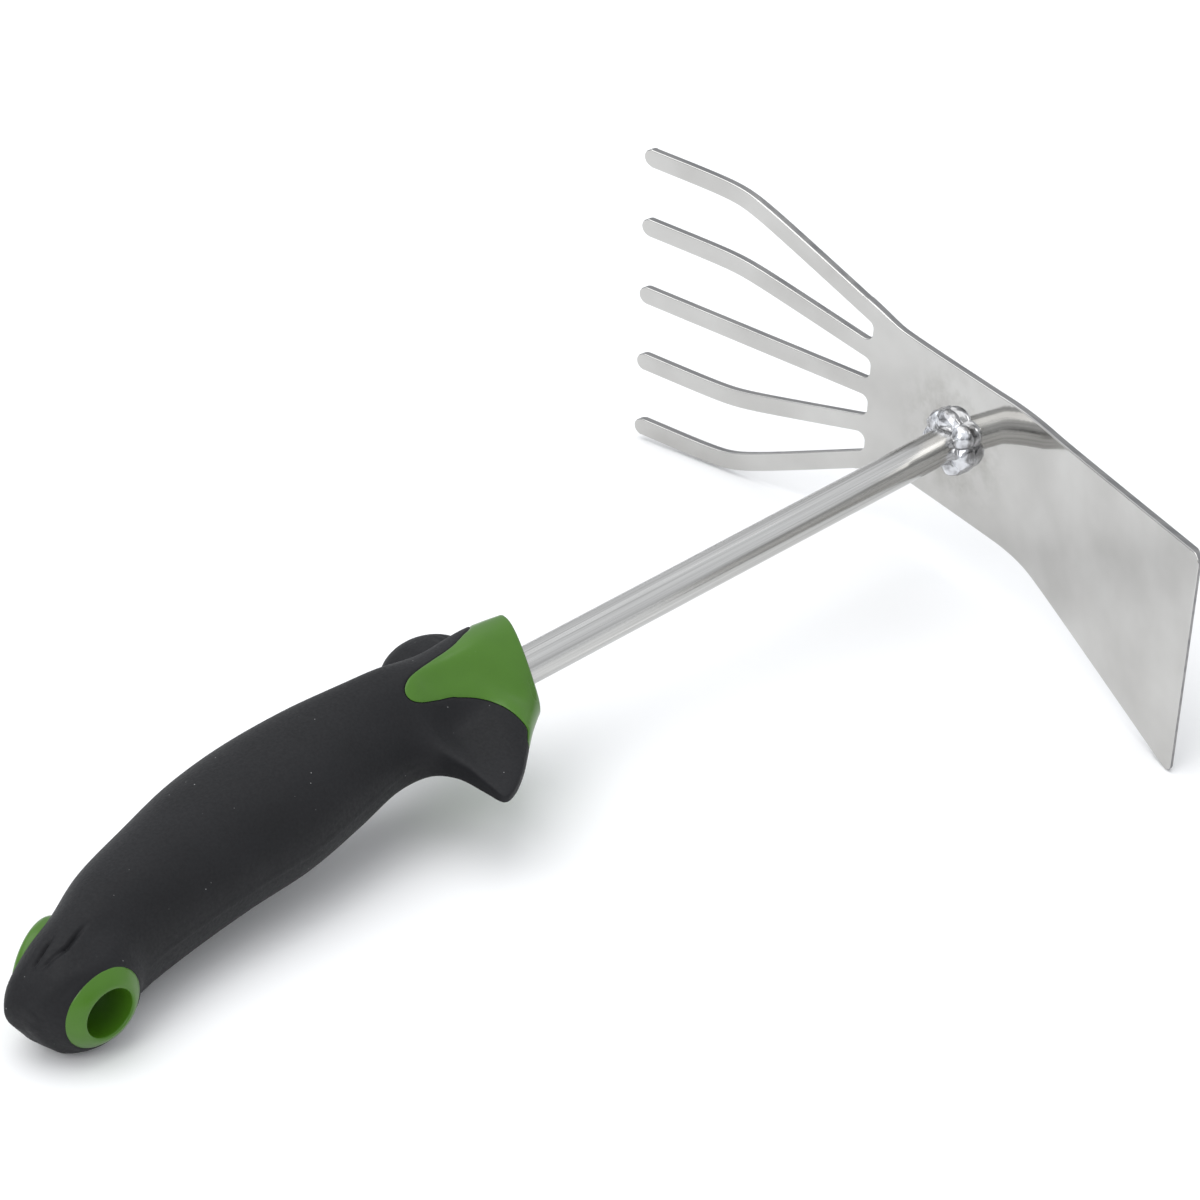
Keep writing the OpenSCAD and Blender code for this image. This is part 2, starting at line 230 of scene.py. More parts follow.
def stamped_sheet():
    """The blank with its rolled edges, cut into strips where it bends, and bent."""
    outline = np.array(blank_outline())
    before, after = np.roll(outline, 1, 0), np.roll(outline, -1, 0)
    run = (after - outline) / np.linalg.norm(after - outline, axis=1)[:, None]
    came = (outline - before) / np.linalg.norm(outline - before, axis=1)[:, None]
    inward = np.stack([run[:, 1] + came[:, 1], -run[:, 0] - came[:, 0]], 1)
    inward /= np.linalg.norm(inward, axis=1)[:, None]
    arc = [(ROLL * (1 - math.sin(a)), ROLL * (1 - math.cos(a))) for a in spread(0, math.pi / 2, 4)]
    profile = [(inset, depth) for inset, depth in arc]
    profile += [(inset, SHEET_T - depth) for inset, depth in reversed(arc)]
    bm = bmesh.new()
    rings = []
    for inset, depth in profile:
        at = outline + inward * inset
        rings.append([bm.verts.new((depth, p[0], p[1])) for p in at])
    count = len(outline)
    for lower, upper in zip(rings, rings[1:]):
        for k in range(count):
            n = (k + 1) % count
            f = bm.faces.new((lower[k], lower[n], upper[n], upper[k]))
            f.material_index = 1 if lower is rings[len(arc) - 1] else 0
    for ring in (list(reversed(rings[0])), rings[-1]):
        bm.faces.new(ring)
    bmesh.ops.recalc_face_normals(bm, faces=bm.faces)
    bmesh.ops.triangulate(bm, faces=[f for f in bm.faces if len(f.verts) > 4], ngon_method="EAR_CLIP")
    cuts = spread(TINE_BEND_AT, TINE_BEND_AT + TINE_BEND_R * math.sin(TINE_BEND) + 1, 16)
    blade_end = BLADE_BEND_AT + BLADE_BEND_R * math.sin(BLADE_BEND) + 1
    cuts += [-v for v in spread(BLADE_BEND_AT, blade_end, 20)]
    cuts += [EDGE_V + BEVEL_LEN * math.cos(BLADE_BEND), 0]
    for v in cuts:
        bmesh.ops.bisect_plane(bm, geom=bm.verts[:] + bm.edges[:] + bm.faces[:], dist=1e-5,
                               plane_co=(0, v, 0), plane_no=(0, 1, 0))
    for v in bm.verts:
        v.co = bend_sheet(v.co)
    return bm


def group(name, inputs, outputs):
    """A shader node group with named sockets: ("name", "NodeSocketFloat", default) each."""
    tree = bpy.data.node_groups.new(name, "ShaderNodeTree")
    for way, sockets in (("INPUT", inputs), ("OUTPUT", outputs)):
        for label, kind, value in sockets:
            s = tree.interface.new_socket(label, in_out=way, socket_type=kind)
            if value is not None:
                s.default_value = value
    return tree, tree.nodes.new("NodeGroupInput"), tree.nodes.new("NodeGroupOutput")


class Nodes:
    """Short ways to place and join shader nodes in one tree."""

    def __init__(self, tree):
        self.tree = tree

    def new(self, kind, **values):
        node = self.tree.nodes.new("ShaderNode" + kind)
        for key, value in values.items():
            setattr(node, key, value)
        return node

    def put(self, socket, value):
        if isinstance(value, bpy.types.NodeSocket):
            self.tree.links.new(value, socket)
        elif value is not None:
            socket.default_value = value

    def math(self, operation, a, b=None, c=None, clamp=False):
        node = self.new("Math", operation=operation, use_clamp=clamp)
        for socket, value in zip(node.inputs, (a, b, c)):
            self.put(socket, value)
        return node.outputs[0]

    def span(self, value, low, high, to_low=0.0, to_high=1.0, smooth=False):
        node = self.new("MapRange", interpolation_type="SMOOTHSTEP" if smooth else "LINEAR")
        for key, v in (("Value", value), ("From Min", low), ("From Max", high),
                       ("To Min", to_low), ("To Max", to_high)):
            self.put(node.inputs[key], v)
        return node.outputs[0]

    def blend(self, share, a, b, kind="MIX"):
        node = self.new("Mix", data_type="RGBA", blend_type=kind)
        for socket, value in zip((node.inputs[0], node.inputs[6], node.inputs[7]), (share, a, b)):
            self.put(socket, value)
        return node.outputs[2]

    def place(self, vector, scale=(1, 1, 1), turn=(0, 0, 0), shift=(0, 0, 0)):
        node = self.new("Mapping")
        self.put(node.inputs["Vector"], vector)
        node.inputs["Scale"].default_value = scale
        node.inputs["Rotation"].default_value = turn
        node.inputs["Location"].default_value = shift
        return node.outputs[0]

    def noise(self, vector, scale, detail=2.0, rough=0.5):
        node = self.new("TexNoise")
        self.put(node.inputs["Vector"], vector)
        self.put(node.inputs["Scale"], scale)
        node.inputs["Detail"].default_value = detail
        node.inputs["Roughness"].default_value = rough
        return node.outputs["Fac"]

    def use(self, tree, **values):
        node = self.new("Group")
        node.node_tree = tree
        for key, value in values.items():
            self.put(node.inputs[key.replace("_", " ")], value)
        return node


def finish_on(name, **sockets):
    """A material with a Principled shader; sockets are its uniform values."""
    mat = bpy.data.materials.new(name)
    mat.use_nodes = True
    shader = mat.node_tree.nodes["Principled BSDF"]
    for key, value in sockets.items():
        shader.inputs[key.replace("_", " ")].default_value = value
    n = Nodes(mat.node_tree)
    return mat, n, shader, n.new("TexCoord").outputs["Object"]


def bumped(n, shader, height, distance, strength=1.0):
    bump = n.new("Bump")
    bump.inputs["Strength"].default_value = strength
    bump.inputs["Distance"].default_value = distance
    n.put(bump.inputs["Height"], height)
    n.put(shader.inputs["Normal"], bump.outputs["Normal"])


# Polishing marks: fine streaks along one way, cloudy patches, and a few stray scratches.
POLISH, _in, _out = group(
    "polishing_marks",
    [("Vector", "NodeSocketVector", None), ("Streak", "NodeSocketFloat", 900.0),
     ("Cloud", "NodeSocketFloat", 60.0), ("Scratches", "NodeSocketFloat", 0.3)],
    [("Streaks", "NodeSocketFloat", None), ("Clouds", "NodeSocketFloat", None),
     ("Scratch", "NodeSocketFloat", None), ("Height", "NodeSocketFloat", None)])
n = Nodes(POLISH)
drawn = n.place(_in.outputs["Vector"], scale=(0.005, 1, 1))
streaks = n.noise(drawn, _in.outputs["Streak"], 3, 0.6)
clouds = n.noise(_in.outputs["Vector"], _in.outputs["Cloud"], 3, 0.55)
stray = n.noise(n.place(_in.outputs["Vector"], scale=(0.05, 1, 1), turn=(0.3, 0.4, 0.5)), 700, 2, 0.5)
scratch = n.math("MULTIPLY", n.span(stray, 0.70, 0.76), _in.outputs["Scratches"])
height = n.math("ADD", n.math("MULTIPLY", streaks, 0.7), n.math("MULTIPLY", scratch, -0.8))
for label, value in (("Streaks", streaks), ("Clouds", clouds), ("Scratch", scratch),
                     ("Height", height)):
    n.put(_out.inputs[label], value)

# Polished faces: nearly a mirror, with faint streaks down the blade, cloudy patches, and painted shade
# darkening the sheet round the weld.
polished, n, shader, where = finish_on("polished_sheet", Metallic=1.0)
along_blade = n.place(where, turn=(0, 0, math.radians(90)))
marks = n.use(POLISH, Vector=along_blade, Streak=650.0, Cloud=45.0, Scratches=0.35)
tone = n.span(marks.outputs["Clouds"], 0.3, 0.7)
sheet_tone = n.blend(tone, (0.46, 0.452, 0.438, 1), (0.56, 0.555, 0.54, 1))
# Painted shade: within about 22 mm of the weld the sheet's colour darkens in noisy patches, standing in
# for the weld's shade on the plate.
from_weld = n.new("VectorMath", operation="DISTANCE")
n.put(from_weld.inputs[0], where)
from_weld.inputs[1].default_value = (LIES @ Vector((0, 0, 0))) * MM
painted_weld_shade = n.math("MULTIPLY", n.span(from_weld.outputs["Value"], 0.022, 0.006, smooth=True),
                n.span(n.noise(where, 150, 4, 0.65), 0.40, 0.70))
n.put(shader.inputs["Base Color"], n.blend(painted_weld_shade, sheet_tone, (0.36, 0.35, 0.33, 1)))
n.put(shader.inputs["Roughness"], n.math(
    "ADD", n.span(marks.outputs["Clouds"], 0.3, 0.75, 0.02, 0.07),
    n.math("MULTIPLY", marks.outputs["Streaks"], 0.04)))
bumped(n, shader, marks.outputs["Height"], 0.00001, 0.2)

# Sheared edges: grey, torn lengthwise through the sheet's thickness, and duller.
sheared, n, shader, where = finish_on("sheared_edge", Metallic=1.0)
marks = n.use(POLISH, Vector=n.place(where, turn=(0, 0, math.radians(90))),
              Streak=500.0, Cloud=200.0, Scratches=0.2)
tone = n.span(marks.outputs["Streaks"], 0.3, 0.7)
n.put(shader.inputs["Base Color"], n.blend(tone, (0.20, 0.20, 0.205, 1), (0.32, 0.315, 0.31, 1)))
n.put(shader.inputs["Roughness"], n.span(marks.outputs["Clouds"], 0.3, 0.7, 0.32, 0.5))
bumped(n, shader, marks.outputs["Height"], 0.00003, 0.3)

head = finished("head_plate_sheet", stamped_sheet(), polished, sheared)
soften(head, 40)
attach(head, "root")
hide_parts("head_plate")

# ---------------------------------------------------------------------------
# Shank: a length of drawn round rod, brushed lengthwise. It is cut square to
# sit against the neck, and its other end is pressed into the handle.
ROD_R = 4
ROD_BARE = 131
LEAN_OF_SHANK = math.atan2(LIES[2][0], LIES[0][0])

drawn_rod, n, shader, where = finish_on("drawn_rod", Metallic=1.0)
lengthwise = n.place(where, turn=(0, LEAN_OF_SHANK, 0))
marks = n.use(POLISH, Vector=lengthwise, Streak=2200.0, Cloud=120.0, Scratches=0.8)
tone = n.span(marks.outputs["Streaks"], 0.3, 0.7)
n.put(shader.inputs["Base Color"], n.blend(tone, (0.40, 0.395, 0.385, 1), (0.62, 0.615, 0.60, 1)))
n.put(shader.inputs["Roughness"], n.math(
    "ADD", n.span(marks.outputs["Streaks"], 0.3, 0.75, 0.16, 0.3),
    n.math("MULTIPLY", marks.outputs["Scratch"], 0.2)))
bumped(n, shader, marks.outputs["Height"], 0.00003, 0.6)
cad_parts["shank"].data.materials.clear()
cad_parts["shank"].data.materials.append(drawn_rod)

# ---------------------------------------------------------------------------
# Weld bead: one run of bright weld metal, laid by hand all round the rod's end
# in overlapping drops, so it is lumpy and uneven.
WELD_DROPS = 7
WELD_R = 4.9
WELD_THICK = 2.5
WELD_BACK = 1.0


def weld_run():
    """Weld metal swept round a ring, swelling once for every drop, by Geometry Nodes."""
    tree = bpy.data.node_groups.new("weld_run", "GeometryNodeTree")
    sizes = {"Ring": WELD_R * MM, "Thick": WELD_THICK * MM, "Drops": float(WELD_DROPS),
             "Swell": 0.30, "Wander": 0.9 * MM}
    tree.interface.new_socket("Geometry", in_out="INPUT", socket_type="NodeSocketGeometry")
    ids = {}
    for label in sizes:
        socket = tree.interface.new_socket(label, in_out="INPUT", socket_type="NodeSocketFloat")
        ids[label] = socket.identifier
    tree.interface.new_socket("Geometry", in_out="OUTPUT", socket_type="NodeSocketGeometry")
    nodes, link = tree.nodes, tree.links.new

    def maths(operation, a, b=None):
        node = nodes.new("ShaderNodeMath")
        node.operation = operation
        for socket, value in zip(node.inputs, (a, b)):
            if isinstance(value, bpy.types.NodeSocket):
                link(value, socket)
            elif value is not None:
                socket.default_value = value
        return node.outputs[0]

    given, out = nodes.new("NodeGroupInput"), nodes.new("NodeGroupOutput")
    ring = nodes.new("GeometryNodeCurvePrimitiveCircle")
    ring.inputs["Resolution"].default_value = 220
    link(given.outputs["Ring"], ring.inputs["Radius"])
    along = nodes.new("GeometryNodeSplineParameter").outputs["Factor"]
    beat = maths("MULTIPLY", maths("MULTIPLY", along, given.outputs["Drops"]), math.pi)
    hump = maths("POWER", maths("ABSOLUTE", maths("SINE", beat)), 0.8)
    place = nodes.new("GeometryNodeInputPosition").outputs[0]
    drift = nodes.new("ShaderNodeTexNoise")
    drift.inputs["Scale"].default_value = 150
    drift.inputs["Detail"].default_value = 1
    link(place, drift.inputs["Vector"])
    swelling = maths("MULTIPLY", hump, given.outputs["Swell"])
    thick = maths("ADD", swelling, maths("ADD", drift.outputs["Fac"], 0.28))
    sized = nodes.new("GeometryNodeSetCurveRadius")
    link(ring.outputs["Curve"], sized.inputs["Curve"])
    link(thick, sized.inputs["Radius"])
    round_bar = nodes.new("GeometryNodeCurvePrimitiveCircle")
    round_bar.inputs["Resolution"].default_value = 40
    link(given.outputs["Thick"], round_bar.inputs["Radius"])
    swept = nodes.new("GeometryNodeCurveToMesh")
    link(sized.outputs["Curve"], swept.inputs["Curve"])
    link(round_bar.outputs["Curve"], swept.inputs["Profile Curve"])
    link(thick, swept.inputs["Scale"])
    uneven = nodes.new("ShaderNodeTexNoise")
    uneven.inputs["Scale"].default_value = 330
    uneven.inputs["Detail"].default_value = 1
    link(place, uneven.inputs["Vector"])
    centred = nodes.new("ShaderNodeVectorMath")
    centred.operation = "SUBTRACT"
    link(uneven.outputs["Color"], centred.inputs[0])
    centred.inputs[1].default_value = (0.5, 0.5, 0.5)
    offset = nodes.new("ShaderNodeVectorMath")
    offset.operation = "SCALE"
    link(centred.outputs[0], offset.inputs[0])
    link(given.outputs["Wander"], offset.inputs["Scale"])
    move = nodes.new("GeometryNodeSetPosition")
    link(swept.outputs["Mesh"], move.inputs["Geometry"])
    link(offset.outputs[0], move.inputs["Offset"])
    real = nodes.new("GeometryNodeRealizeInstances")
    link(move.outputs["Geometry"], real.inputs["Geometry"])
    paint = nodes.new("GeometryNodeSetMaterial")
    paint.inputs["Material"].default_value = weld_metal
    link(real.outputs["Geometry"], paint.inputs["Geometry"])
    link(paint.outputs["Geometry"], out.inputs["Geometry"])
    holder = bpy.data.objects.new("weld_run", bpy.data.meshes.new("weld_run"))
    bpy.context.scene.collection.objects.link(holder)
    sweep = holder.modifiers.new("weld run", "NODES")
    sweep.node_group = tree
    for label, value in sizes.items():
        sweep[ids[label]] = value
    bpy.context.view_layer.update()
    mesh = bpy.data.meshes.new_from_object(holder.evaluated_get(bpy.context.evaluated_depsgraph_get()))
    bpy.data.objects.remove(holder)
    return mesh


weld_metal, n, shader, where = finish_on("weld_metal", Metallic=1.0)
marks = n.use(POLISH, Vector=where, Streak=900.0, Cloud=260.0, Scratches=0.2)
tone = n.span(marks.outputs["Clouds"], 0.4, 0.55)
n.put(shader.inputs["Base Color"], n.blend(tone, (0.30, 0.30, 0.31, 1), (0.72, 0.73, 0.76, 1)))
n.put(shader.inputs["Roughness"], n.span(marks.outputs["Clouds"], 0.3, 0.7, 0.08, 0.22))
bumped(n, shader, marks.outputs["Clouds"], 0.0002, 0.25)

bm = bmesh.new()
bm.from_mesh(weld_run())
bmesh.ops.remove_doubles(bm, verts=bm.verts, dist=1e-7)
bmesh.ops.recalc_face_normals(bm, faces=bm.faces)
turn = Matrix.Rotation(math.radians(90), 4, "Y")
lean = Matrix.Rotation(-NECK_LEAN, 4, "Z")
for v in bm.verts:
    v.co = lean @ (turn @ (v.co / MM))
    v.co.x -= WELD_BACK
bead = finished("weld_bead_run", bm, weld_metal)
for p in bead.data.polygons:
    p.use_smooth = True
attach(bead, "root")
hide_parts("weld_bead")

# ---------------------------------------------------------------------------
# Handle: the outer skin shared by both shots of the moulding. Each station has
# a point of the upper outline, a point of the lower outline, the breadth, how much
# narrower it is below than above, and how far the finger guard thins it. In mm from
# the collar.
PALM_HALF = 12.6
STATIONS = [
    ((2.0, 8.8), (-5, -13), 0.88, 0.5, 0),
    ((-2.2, 10), (-9.8, -16.4), 0.9, 0.5, 0.2),
    ((-7, 11.0), (-15.1, -20.8), 0.92, 0.5, 0.4),
    ((-11.5, 11.7), (-20.4, -25.2), 0.92, 0.45, 0.55),
    ((-15.5, 12.1), (-25.8, -28.7), 0.91, 0.42, 0.68),
    ((-18.5, 12.4), (-29.2, -29.3), 0.91, 0.4, 0.74),
    ((-21, 12.4), (-29.6, -24.8), 0.92, 0.36, 0.7),
    ((-24, 12.2), (-29.8, -17.8), 0.94, 0.3, 0.58),
    ((-28.5, 12.4), (-32, -12), 0.96, 0.24, 0.28),
    ((-36, 13.2), (-38, -10.3), 0.97, 0.17, 0.04),
    ((-50, 15.3), (-50, -13.3), 1, 0.04, 0),
    ((-65, 15.2), (-65, -16.9), 1, 0, 0),
    ((-80, 12.3), (-80, -18.1), 1, 0, 0),
    ((-95, 7), (-94, -19.6), 1, 0, 0),
    ((-109, 1.6), (-106, -21.5), 0.99, 0, 0),
    ((-119.5, -4.7), (-117, -24.2), 0.96, 0, 0),
    ((-128, -8.9), (-125.4, -26.1), 0.895, 0, 0),
    ((-134.2, -12.4), (-130.6, -22.8), 0.58, 0, 0),
    ((-136.8, -15.4), (-134.2, -18.8), 0.24, 0, 0),
]
RING_SIDES = 128
WEB_FROM, WEB_DEEP, WEB_BLUNT = 1, 12, 0.8
THUMB_AT = (-13.0, 10.2)
THUMB_HALF = (11.0, 9.5, 7.2)


def through(points, t):
    """Smooth curve through rows of numbers, at t counted in rows."""
    last = len(points) - 1
    i = min(int(t), last - 1)
    t -= i
    a, b, c, d = (points[max(0, min(last, k))] for k in (i - 1, i, i + 1, i + 2))
    return (b + t * (c - a) / 2 + t * t * (a - 2.5 * b + 2 * c - d / 2)
            + t ** 3 * (1.5 * (b - c) + (d - a) / 2))


def handle_rings():
    """Rings of points round the handle, in the tool's axes."""
    rows = np.array([[*top, *low, broad, egg, web] for top, low, broad, egg, web in STATIONS])
    rings = []
    t = 0.0
    while t <= len(rows) - 1 + 1e-9:
        r = through(rows, t)
        top, low, broad, egg = r[0:2], r[2:4], r[4] * PALM_HALF, r[5]
        centre, arm = (top + low) / 2, (top - low) / 2
        a = np.linspace(0, 2 * np.pi, RING_SIDES, endpoint=False)
        s, c = np.sin(a), np.cos(a)
        down = np.clip((WEB_FROM - centre[1] - arm[1] * s) / WEB_DEEP, 0, 1)
        thin = r[6] * down * down * (3 - 2 * down)
        wide = np.sign(c) * np.abs(c) ** (1 - WEB_BLUNT * thin) * (1 - thin)
        rings.append(np.stack([centre[0] + arm[0] * s, centre[1] + arm[1] * s,
                               broad * wide * (1 + egg * s)], 1))
        span = np.linalg.norm(rows[min(int(t) + 1, len(rows) - 1)][0:4] - rows[int(t)][0:4]) / 1.4
        t += 1 / max(4, round(span / 0.85)) if t < len(rows) - 1 else 1
    return rings


# Edge of the green collar against the rubber, seen from the side.
COLLAR_EDGE = [(20, 30), (-1, 30), (-2.6, 13), (-7, 5.4), (-10.8, 3.5), (-14, 2.4), (-16.8, 2),
               (-19.6, 1.8), (-22.7, 1.3), (-25.8, 0.6), (-28.3, -0.2), (-30, -1.3), (-30.5, -2.5),
               (-30, -3.5), (-28.6, -4.2), (-26.5, -4.5), (-24.2, -4.8), (-21.8, -5.2), (-19.8, -6),
               (-17.9, -6.9), (-16.3, -8), (-15, -9.3), (-14, -11), (-13.4, -12.7), (-12.9, -14.5),
               (-12.6, -16.1), (-12.4, -17.5), (-12.2, -22), (20, -22)]


def edge_distance(x, y):
    """How far inside the collar's edge a point is, seen from the side; negative on the rubber."""
    corners = np.array(COLLAR_EDGE, float)
    soft = np.array([through(corners, t) for t in np.linspace(1, len(corners) - 2, 180)])
    line = np.vstack([corners[:1], soft, corners[-1:]])
    a, b = line, np.roll(line, -1, 0)
    p = np.stack([x, y], 1)[:, None, :]
    ab = (b - a)[None]
    t = np.clip(((p - a[None]) * ab).sum(2) / np.maximum((ab * ab).sum(2), 1e-12), 0, 1)
    near = np.linalg.norm(p - (a[None] + t[..., None] * ab), axis=2).min(1)
    up = (a[None, :, 1] > p[..., 1]) != (b[None, :, 1] > p[..., 1])
    slant = (b[:, 0] - a[:, 0]) / np.where(b[:, 1] == a[:, 1], 1e-9, b[:, 1] - a[:, 1])
    cross = a[None, :, 0] + slant[None] * (p[..., 1] - a[None, :, 1])
    inside = (up & (p[..., 0] < cross)).sum(1) % 2 == 1
    return np.where(inside, near, -near)


# Folds moulded into the butt on both cheeks: points as (x, y, z), and how deep each runs.
FOLDS = [
    (((-118.7, -17.1, 11.8), (-121.4, -18.1, 11.8), (-125.3, -19.6, 11.3), (-129.4, -19.3, 9.5),
      (-132.1, -18.3, 7.4)), 0.75),
    (((-126.1, -22.8, 9.0), (-128.8, -22.4, 7.3), (-131.4, -21.4, 4.2), (-132.9, -20.3, 1.5)), 1.3),
    (((-124.6, -15.3, 11.6), (-126.5, -16.1, 11.4), (-129.9, -17.1, 9.7), (-132.4, -17.2, 7.4)), 0.8),
]
HOLE_BACK = 123
HOLE_R = 5
HOLE_RIM = 3.25
EYE_MOUTH = -28.2
EYE_R = HOLE_R + HOLE_RIM - 0.1
BOSS_AT = EYE_MOUTH + 2.1
SEAM = 0.16
GROOVE_CUTS = (-0.4, 0.0, 0.3)
CORE_WALL, RUBBER_WALL = 1.6, 1.5
HOLLOW = ((-25, -1.6), (-19, -2.2), (-14.5, -4), (-11, -7.2), (-9, -11))


def soft_max(a, b, k):
    return (a + b + np.sqrt((a - b) ** 2 + k * k)) / 2


def away_from_line(p, line):
    """Distance of points from a run of straight pieces."""
    line = np.array(line, float)
    a, b = line[:-1], line[1:]
    ab = b - a
    ap = p[:, None, :] - a[None]
    t = np.clip((ap * ab[None]).sum(2) / (ab * ab).sum(1)[None], 0, 1)
    return np.linalg.norm(ap - t[..., None] * ab[None], axis=2).min(1)


def shaped(p):
    """Thumb rest, parting line and the swelling round the hole's mouth, added to the plain skin."""
    x, y, z = p[:, 0], p[:, 1].copy(), p[:, 2]
    window = np.clip(1 - ((x + 16) / 15) ** 2, 0, 1)
    y -= 1.7 * window * np.clip((y - 4) / 5, 0, 1) * np.exp(-((np.abs(z) - 6.6) / 2.4) ** 2)
    inside = 1 - ((x - THUMB_AT[0]) / THUMB_HALF[0]) ** 2 - (z / THUMB_HALF[2]) ** 2
    rest = THUMB_AT[1] + THUMB_HALF[1] * np.sqrt(np.clip(inside, 0, None))
    y = np.where((inside > 0) & (p[:, 1] > 4), soft_max(y, rest, 0.7), y)
    from_hole = np.hypot(x + HOLE_BACK, z)
    beyond = np.maximum(from_hole - EYE_R, -0.6)
    boss = BOSS_AT + 0.95 * beyond + 0.1 * beyond ** 2
    swell = np.clip((-15.5 - p[:, 1]) / 4.5, 0, 1) * (from_hole < EYE_R + 9)
    swell = swell * np.clip((11.4 - np.abs(z)) / 2.5, 0, 1)
    swell = swell * swell * (3 - 2 * swell)
    y = y + swell * (-soft_max(-y, -boss, 1.6) - y)
    hollow = away_from_line(p[:, :2], HOLLOW)
    pinch = 0.75 * np.exp(-(hollow / 2.0) ** 2) * np.clip((x + 30) / 6, 0, 1)
    z = z - np.sign(z) * pinch * np.clip(np.abs(z) / 6, 0, 1)
    palm = np.clip((-30 - x) / 6, 0, 1) * np.clip((x + 112) / 6, 0, 1)
    y = np.where(p[:, 1] < -8, y - SEAM * palm * np.exp(-(z / 0.4) ** 2), y)
    return np.stack([x, y, z], 1)


# The butt closes in a low dome: share of the last ring's size, and how far out.
DOME = ((0.92, 0.14), (0.8, 0.27), (0.62, 0.38), (0.4, 0.46), (0.15, 0.5))


def handle_skin():
    """The whole outer skin as one mesh, closed at the butt and open at the front."""
    rings = [shaped(r) for r in handle_rings()]
    bm = bmesh.new()
    rows = [[bm.verts.new(p) for p in r] for r in rings]
    for a, b in zip(rows, rows[1:]):
        for k in range(RING_SIDES):
            j = (k + 1) % RING_SIDES
            bm.faces.new((a[k], a[j], b[j], b[k]))
    end = rings[-1]
    middle = end.mean(0)
    last = rows[-1]
    for share, out in DOME:
        push = np.array([-out, -out * 0.2, 0])
        row = [bm.verts.new(middle + (p - middle) * share + push) for p in end]
        for k in range(RING_SIDES):
            j = (k + 1) % RING_SIDES
            bm.faces.new((last[k], last[j], row[j], row[k]))
        last = row
    bm.faces.new(last)
    return bm


# The hole comes out at the back through a slanted rim, longer than it is wide.
EYE_BACK = (-7.3, 27)
BACK_SHIFT = -1.7
BACK_LONG = 1.16


def split_where(bm, level):
    """Cuts the mesh along the line where level(points) is zero."""
    bm.verts.ensure_lookup_table()
    values = level(np.array([v.co for v in bm.verts]))
    values[np.abs(values) < 0.04] = 0.0
    value = {v: float(x) for v, x in zip(bm.verts, values)}
    for e in list(bm.edges):
        a, b = e.verts
        if value[a] * value[b] < 0:
            t = value[a] / (value[a] - value[b])
            _, new = bmesh.utils.edge_split(e, a, t)
            value[new] = 0.0
    for f in list(bm.faces):
        zero = [v for v in f.verts if value[v] == 0.0]
        if len(zero) == 2:
            if not any(set(e.verts) == set(zero) for e in f.edges):
                bmesh.utils.face_split(f, zero[0], zero[1])
    return value


def to_root(x):
    """From the collar's x to the tool's."""
    return x - ROD_BARE


def fold_butt(bm):
    """Cuts the skin finer round each fold and presses the fold in."""
    bm.normal_update()
    for step in range(2):
        mids = np.array([f.calc_center_median() for f in bm.faces])
        mids[:, 2] = np.abs(mids[:, 2])
        close = np.min([away_from_line(mids, line) for line, _ in FOLDS], axis=0) < 2.2 - step
        edges = list(dict.fromkeys(e for f, hit in zip(bm.faces, close) if hit for e in f.edges))
        bmesh.ops.subdivide_edges(bm, edges=edges, cuts=1, use_grid_fill=True)
        bmesh.ops.triangulate(bm, faces=[f for f in bm.faces if len(f.verts) > 3])
    bm.normal_update()
    at = np.array([v.co for v in bm.verts])
    at[:, 2] = np.abs(at[:, 2])
    for line, deep in FOLDS:
        off = away_from_line(at, line)
        ends = np.minimum(np.linalg.norm(at - line[0], axis=1), np.linalg.norm(at - line[-1], axis=1))
        fade = np.clip(ends / 3, 0.15, 1)
        push = deep * fade * (np.exp(-(off / 0.42) ** 1.3) - 0.35 * np.exp(-((off - 1.5) / 0.7) ** 2))
        for v, d in zip(bm.verts, push):
            if abs(d) > 0.003:
                half = abs(v.co.z)
                v.co -= v.normal * d
                v.co.z = max(-half, min(half, v.co.z))


skin = handle_skin()
bmesh.ops.recalc_face_normals(skin, faces=skin.faces)
bmesh.ops.triangulate(skin, faces=[f for f in skin.faces if len(f.verts) == 4])
fold_butt(skin)
for gap in GROOVE_CUTS:
    split_where(skin, lambda p, g=gap: edge_distance(p[:, 0], p[:, 1]) - g)


def near_eye(p):
    return np.where(p[:, 1] < -16, np.hypot(p[:, 0] + HOLE_BACK, p[:, 2]), 99)


slant = math.radians(EYE_BACK[1])


def far_eye(p):
    dx, dy = p[:, 0] + HOLE_BACK - BACK_SHIFT, p[:, 1] - EYE_BACK[0]
    across = (dx * math.cos(slant) + dy * math.sin(slant)) / BACK_LONG
    return np.where(p[:, 1] > -16, np.hypot(across, p[:, 2]), 99)


for eye in (near_eye, far_eye):
    for grow in (0.5, 0.0):
        split_where(skin, lambda p, e=eye, g=grow: e(p) - EYE_R - g)

bmesh.ops.recalc_face_normals(skin, faces=skin.faces)
skin.normal_update()


def skin_part(keep):
    """A copy of the skin with only the faces whose middle passes keep."""
    part = skin.copy()
    mids = np.array([f.calc_center_median() for f in part.faces])
    wanted = keep(mids)
    bmesh.ops.delete(part, geom=[f for f, w in zip(list(part.faces), wanted) if not w], context="FACES")
    part.normal_update()
    return part


def press_in(bm, level, reach, depth):
    """Sinks what is within reach of a boundary, so that the two shots meet in a fine groove."""
    p = np.array([v.co for v in bm.verts])
    d = np.clip(1 - np.abs(level(p)) / reach, 0, 1) ** 1.5 * depth
    for v, s in zip(list(bm.verts), d):
        v.co -= v.normal * s


def eye_distance(p):
    return np.minimum(near_eye(p), far_eye(p)) - EYE_R


def on_rubber(p):
    return (edge_distance(p[:, 0], p[:, 1]) < 0) & (eye_distance(p) > 0)


def on_collar(p):
    return (edge_distance(p[:, 0], p[:, 1]) > 0) & (p[:, 0] > -60)


